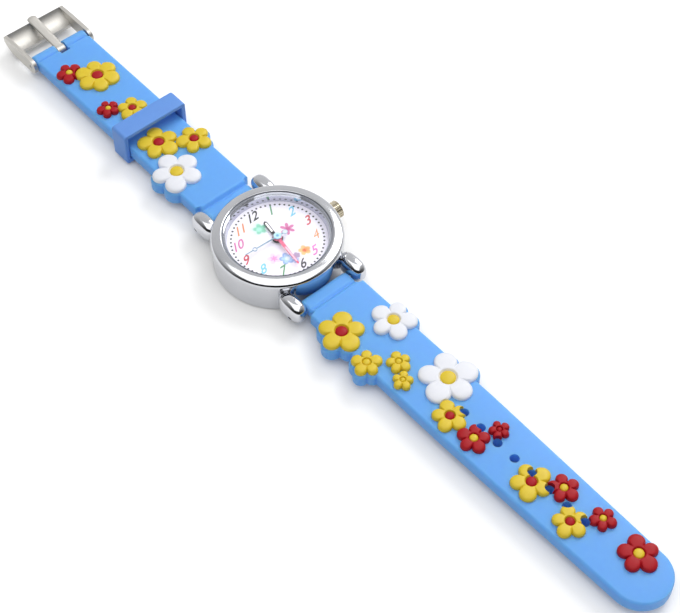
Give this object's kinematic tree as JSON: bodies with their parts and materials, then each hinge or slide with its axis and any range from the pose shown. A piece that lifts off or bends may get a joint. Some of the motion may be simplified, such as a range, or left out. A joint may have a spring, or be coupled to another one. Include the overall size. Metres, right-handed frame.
{
  "type": "wristwatch",
  "caption": "Child's quartz wristwatch with a round polished case, printed dial, moulded flower strap, sliding keeper and tongue buckle, built as an assembly with its movement.",
  "frame": {"origin": "middle of the case back on the surface that the watch rests on", "axes": "+Z out of the dial, +Y towards 12 o'clock and the buckle, +X towards 3 o'clock and the crown"},
  "size_m": [0.0298, 0.1928, 0.0084],
  "materials": {
    "polished_steel": "polished",
    "satin_steel": "satin",
    "crystal_glass": "clear",
    "gasket_rubber": "matte",
    "clear_gasket": "translucent",
    "dial_ring_metal": "polished",
    "dial_white": "printed",
    "hand_black": "painted",
    "hand_pink": "painted",
    "hand_blue": "painted",
    "movement_plastic": "moulded",
    "movement_brass": "plated",
    "battery_steel": "satin",
    "board_green": "lacquered",
    "copper_wire": "enamelled wire",
    "magnet": "ground",
    "strap_blue": "satin silicone",
    "keeper_blue": "satin silicone",
    "flower_yellow": "satin silicone",
    "flower_red": "satin silicone",
    "flower_white": "satin silicone"
  },
  "bodies": {
    "case": {"case_body": "polished_steel", "bezel": "polished_steel", "crystal": "crystal_glass", "crystal_gasket": "clear_gasket", "dial_ring": "dial_ring_metal", "dial": "dial_white", "movement_holder": "movement_plastic", "main_plate": "movement_brass", "train_bridge": "movement_brass", "bridge_screws": "satin_steel", "battery": "battery_steel", "battery_clip": "satin_steel", "circuit_board": "board_green", "quartz_can": "satin_steel", "coil": "copper_wire", "stator": "satin_steel", "crown_tube": "satin_steel", "case_back": "satin_steel", "back_gasket": "gasket_rubber", "lug_spring_bars": "satin_steel"},
    "seconds": {"seconds_wheel": "movement_brass", "second_hand": "hand_blue"},
    "minutes": {"centre_wheel": "movement_brass", "cannon_pinion": "movement_brass", "minute_hand": "hand_pink"},
    "hours": {"hour_wheel": "movement_brass", "hour_hand": "hand_black"},
    "third": {"third_wheel": "movement_brass"},
    "intermediate": {"intermediate_wheel": "movement_plastic"},
    "rotor": {"rotor": "magnet"},
    "minute_work": {"minute_wheel": "movement_plastic"},
    "setting_gear": {"setting_wheel": "movement_plastic"},
    "clutch": {"clutch_wheel": "satin_steel"},
    "crown": {"crown": "polished_steel", "stem": "satin_steel", "crown_gasket": "gasket_rubber"},
    "lever": {"setting_lever": "satin_steel"},
    "buckle_strap": {"buckle_strap": "strap_blue", "buckle_strap_yellow": "flower_yellow", "buckle_strap_red": "flower_red", "buckle_strap_white": "flower_white", "buckle_spring_bar": "satin_steel"},
    "keeper": {"strap_keeper": "keeper_blue"},
    "buckle": {"buckle_frame": "satin_steel"},
    "tongue": {"buckle_tongue": "satin_steel"},
    "tip_strap": {"tip_strap": "strap_blue", "tip_strap_yellow": "flower_yellow", "tip_strap_red": "flower_red", "tip_strap_white": "flower_white"}
  },
  "joints": [
    {"name": "seconds_turn", "type": "hinge", "parent": "case", "child": "seconds", "pos_m": [0, 0, 0.004], "axis": [0, 0, 1], "continuous": true},
    {"name": "minutes_turn", "type": "hinge", "parent": "case", "child": "minutes", "pos_m": [0, 0, 0.004], "axis": [0, 0, 1], "continuous": true},
    {"name": "hours_turn", "type": "hinge", "parent": "case", "child": "hours", "pos_m": [0, 0, 0.004], "axis": [0, 0, 1], "continuous": true},
    {"name": "third_turn", "type": "hinge", "parent": "case", "child": "third", "pos_m": [-0.00159, 0.0019, 0.004], "axis": [0, 0, 1], "continuous": true},
    {"name": "intermediate_turn", "type": "hinge", "parent": "case", "child": "intermediate", "pos_m": [0.00164, 0.00182, 0.004], "axis": [0, 0, 1], "continuous": true},
    {"name": "rotor_turn", "type": "hinge", "parent": "case", "child": "rotor", "pos_m": [0.00284, 0.00316, 0.004], "axis": [0, 0, 1], "continuous": true},
    {"name": "minute_wheel_turn", "type": "hinge", "parent": "case", "child": "minute_work", "pos_m": [0.00262, -0.00184, 0.004], "axis": [0, 0, 1], "continuous": true},
    {"name": "setting_wheel_turn", "type": "hinge", "parent": "case", "child": "setting_gear", "pos_m": [0.00524, 0, 0.004], "axis": [0, 0, 1], "continuous": true},
    {"name": "crown_turn", "type": "hinge", "parent": "case", "child": "clutch", "pos_m": [0.013, 0, 0.00325], "axis": [1, 0, 0], "continuous": true},
    {"name": "crown_pull", "type": "slide", "parent": "clutch", "child": "crown", "axis": [1, 0, 0], "range_m": [0, 0.001]},
    {"name": "lever_swing", "type": "hinge", "parent": "case", "child": "lever", "pos_m": [0.00785, -0.0021, 0.00325], "axis": [0, 0, 1], "range_deg": [-31.5, 0]},
    {"name": "buckle_strap_hinge", "type": "hinge", "parent": "case", "child": "buckle_strap", "pos_m": [0, 0.015, 0.0027], "axis": [1, 0, 0], "range_deg": [-88, 60]},
    {"name": "tip_strap_hinge", "type": "hinge", "parent": "case", "child": "tip_strap", "pos_m": [0, -0.015, 0.0027], "axis": [-1, 0, 0], "range_deg": [-88, 60]},
    {"name": "keeper_slide", "type": "slide", "parent": "buckle_strap", "child": "keeper", "axis": [0, 1, 0], "range_m": [-0.0025, 0.0265]},
    {"name": "buckle_hinge", "type": "hinge", "parent": "buckle_strap", "child": "buckle", "pos_m": [0, 0.0762, 0.003], "axis": [1, 0, 0], "range_deg": [-90, 15]},
    {"name": "tongue_hinge", "type": "hinge", "parent": "buckle", "child": "tongue", "pos_m": [0, 0.0762, 0.003], "axis": [1, 0, 0], "range_deg": [0, 95]}
  ],
  "couplings": [
    {"joint": "third_turn", "follows": "seconds_turn", "ratio": -0.13333},
    {"joint": "minutes_turn", "follows": "seconds_turn", "ratio": 0.016667},
    {"joint": "hours_turn", "follows": "seconds_turn", "ratio": 0.0013889},
    {"joint": "intermediate_turn", "follows": "seconds_turn", "ratio": -6},
    {"joint": "rotor_turn", "follows": "seconds_turn", "ratio": 30},
    {"joint": "minute_wheel_turn", "follows": "seconds_turn", "ratio": -0.0055556},
    {"joint": "setting_wheel_turn", "follows": "seconds_turn", "ratio": 0.016667},
    {"joint": "lever_swing", "follows": "crown_pull", "rad_per_m": -546.83}
  ]
}
